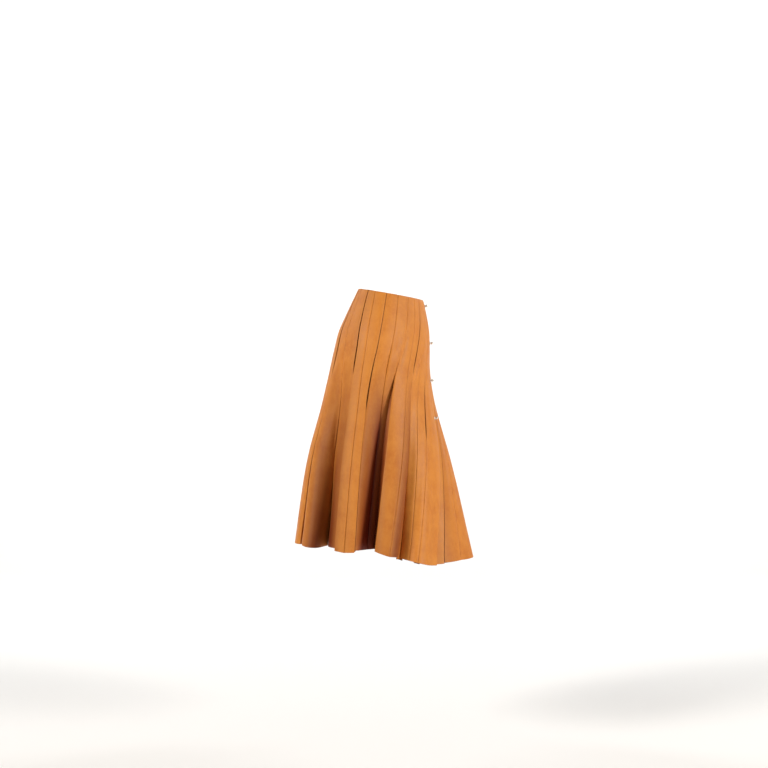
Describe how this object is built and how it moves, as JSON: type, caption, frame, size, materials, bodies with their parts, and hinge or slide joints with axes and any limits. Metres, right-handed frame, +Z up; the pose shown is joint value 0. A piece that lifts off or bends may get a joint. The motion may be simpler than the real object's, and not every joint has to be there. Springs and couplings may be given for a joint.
{
  "type": "pleated skirt",
  "caption": "Midi-length pleated leather skirt in its worn, hollow form, with pleats stitched down over the hips and a wrapped front closed by small ball studs.",
  "frame": {"origin": "centre of the waist opening, where the wearer's waist holds the skirt", "axes": "+Z up along the skirt from hem to waist, -Y to the wearer's front, -X to the wearer's right"},
  "size_m": [0.4282, 0.4321, 0.6629],
  "materials": {
    "leather": "smooth tan nappa leather with a soft satin sheen",
    "leather_fold": "the same tan leather on the folded underlays, a little deeper in tone",
    "stud_metal": "polished nickel"
  },
  "bodies": {
    "root": {"panel_01_gore_a": "leather", "panel_01_gore_b": "leather", "panel_02_gore_a": "leather", "panel_02_gore_b": "leather", "panel_03_gore_a": "leather", "panel_03_gore_b": "leather", "panel_04_gore_a": "leather", "panel_04_gore_b": "leather", "panel_05_gore_a": "leather", "panel_05_gore_b": "leather", "panel_06_gore_a": "leather", "panel_06_gore_b": "leather", "panel_07_gore_a": "leather", "panel_07_gore_b": "leather", "panel_08_gore_a": "leather", "panel_08_gore_b": "leather", "panel_09_gore_a": "leather", "panel_09_gore_b": "leather", "panel_10_gore_a": "leather", "panel_10_gore_b": "leather", "panel_11_gore_a": "leather", "panel_11_gore_b": "leather", "panel_12_gore_a": "leather", "panel_12_gore_b": "leather", "panel_13_gore_a": "leather", "panel_13_gore_b": "leather", "edge_panel": "leather", "under_panel": "leather_fold", "underlay_01": "leather_fold", "underlay_02": "leather_fold", "underlay_03": "leather_fold", "underlay_04": "leather_fold", "underlay_05": "leather_fold", "underlay_06": "leather_fold", "underlay_07": "leather_fold", "underlay_08": "leather_fold", "underlay_09": "leather_fold", "underlay_10": "leather_fold", "underlay_11": "leather_fold", "underlay_12": "leather_fold", "underlay_13": "leather_fold", "stud_1": "stud_metal", "stud_2": "stud_metal", "stud_3": "stud_metal", "stud_4": "stud_metal"}
  },
  "joints": []
}
